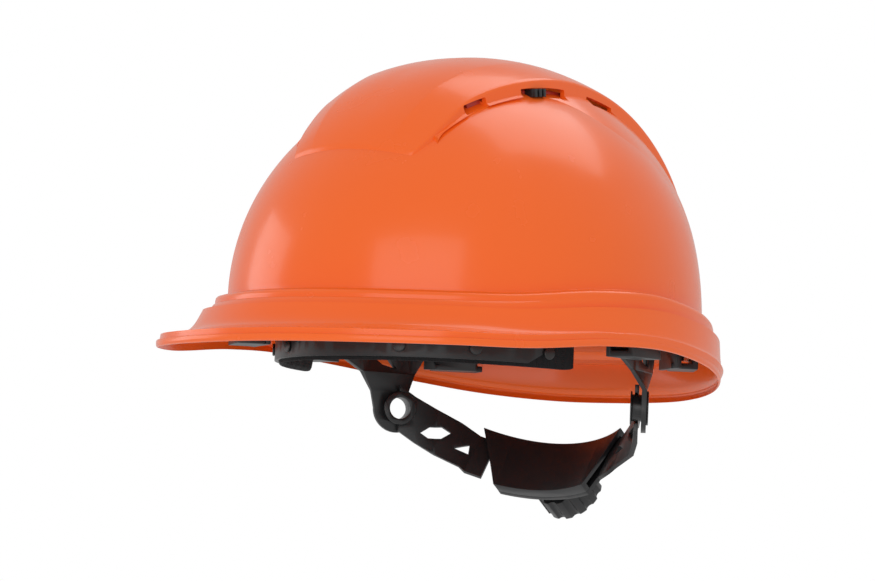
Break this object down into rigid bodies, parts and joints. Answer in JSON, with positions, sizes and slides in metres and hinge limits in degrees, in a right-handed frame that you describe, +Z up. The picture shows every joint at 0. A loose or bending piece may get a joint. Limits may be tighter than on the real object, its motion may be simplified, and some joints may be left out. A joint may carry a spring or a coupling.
{
  "type": "vented safety helmet with ratchet neckband",
  "caption": "Vented hard hat with raised crest, sliding crest shutters, front brim, textile crown cradle and swinging neckband tightened by a rear ratchet knob.",
  "frame": {"origin": "middle plane at the centre of the shell, level with the side rim, where the head sits", "axes": "+Z up through the crown, -Y towards the brim at the wearer's front, +X towards the wearer's left"},
  "size_m": [0.214, 0.2786, 0.2009],
  "materials": {
    "shell": "glossy injection-moulded orange",
    "vent_shutter": "satin dark red",
    "vent_knob": "satin black",
    "vent_guide": "satin dark orange",
    "harness_plastic": "satin black",
    "cradle_plastic": "satin black",
    "bush": "satin black",
    "sweatband": "textured black foam-backed cloth",
    "stud": "satin black",
    "ratchet_plastic": "satin black",
    "axle_steel": "plain steel pin",
    "webbing": "woven black textile band"
  },
  "bodies": {
    "helmet": {"shell": "shell", "vent_guide_left": "vent_guide", "vent_guide_right": "vent_guide", "headband": "harness_plastic", "sweatband": "sweatband", "sweatband_studs": "stud", "hanger_arm_left": "harness_plastic", "hanger_arm_right": "harness_plastic", "pivot_bush_left": "bush", "pivot_bush_right": "bush", "crown_strap_across": "webbing", "crown_strap_front_left": "webbing", "crown_strap_front_right": "webbing", "cradle_key_front_left": "cradle_plastic", "cradle_key_side_left": "cradle_plastic", "cradle_key_rear_left": "cradle_plastic", "cradle_key_rear_right": "cradle_plastic", "cradle_key_side_right": "cradle_plastic", "cradle_key_front_right": "cradle_plastic"},
    "vent_left": {"vent_shutter_left": "vent_shutter", "shutter_knob_left": "vent_knob"},
    "vent_right": {"vent_shutter_right": "vent_shutter", "shutter_knob_right": "vent_knob"},
    "neckband": {"neck_strap_left": "harness_plastic", "neck_strap_right": "harness_plastic", "neck_inner_plate": "harness_plastic", "neck_outer_cover": "harness_plastic", "ratchet_housing": "ratchet_plastic"},
    "knob": {"ratchet_knob": "ratchet_plastic", "ratchet_pinion": "ratchet_plastic", "ratchet_pawl": "ratchet_plastic", "ratchet_axle": "axle_steel"},
    "rack_left": {"rack_left": "harness_plastic"},
    "rack_right": {"rack_right": "harness_plastic"}
  },
  "joints": [
    {"name": "vent_slide_left", "type": "hinge", "parent": "helmet", "child": "vent_left", "pos_m": [0, 0.0034, -0.0356], "axis": [1, 0, 0], "range_deg": [-3.2, 2.2]},
    {"name": "vent_slide_right", "type": "hinge", "parent": "helmet", "child": "vent_right", "pos_m": [0, 0.0034, -0.0356], "axis": [1, 0, 0], "range_deg": [-3.2, 2.2]},
    {"name": "neckband_swing", "type": "hinge", "parent": "helmet", "child": "neckband", "pos_m": [0, 0.0415, -0.017], "axis": [1, 0, 0], "range_deg": [-8, 8]},
    {"name": "knob_turn", "type": "hinge", "parent": "neckband", "child": "knob", "pos_m": [0, 0.08069, -0.0488], "axis": [0, 0.8192, -0.5736], "range_deg": [-60, 180]},
    {"name": "rack_left_travel", "type": "hinge", "parent": "neckband", "child": "rack_left", "pos_m": [0, 0.01801, 0.00291], "axis": [0, 0.5736, 0.8192], "range_deg": [-10, 10]},
    {"name": "rack_right_travel", "type": "hinge", "parent": "neckband", "child": "rack_right", "pos_m": [0, 0.01078, -0.00742], "axis": [0, 0.5736, 0.8192], "range_deg": [-10, 10]}
  ],
  "couplings": [
    {"joint": "rack_left_travel", "follows": "knob_turn", "ratio": 0.054},
    {"joint": "rack_right_travel", "follows": "knob_turn", "ratio": -0.054}
  ]
}
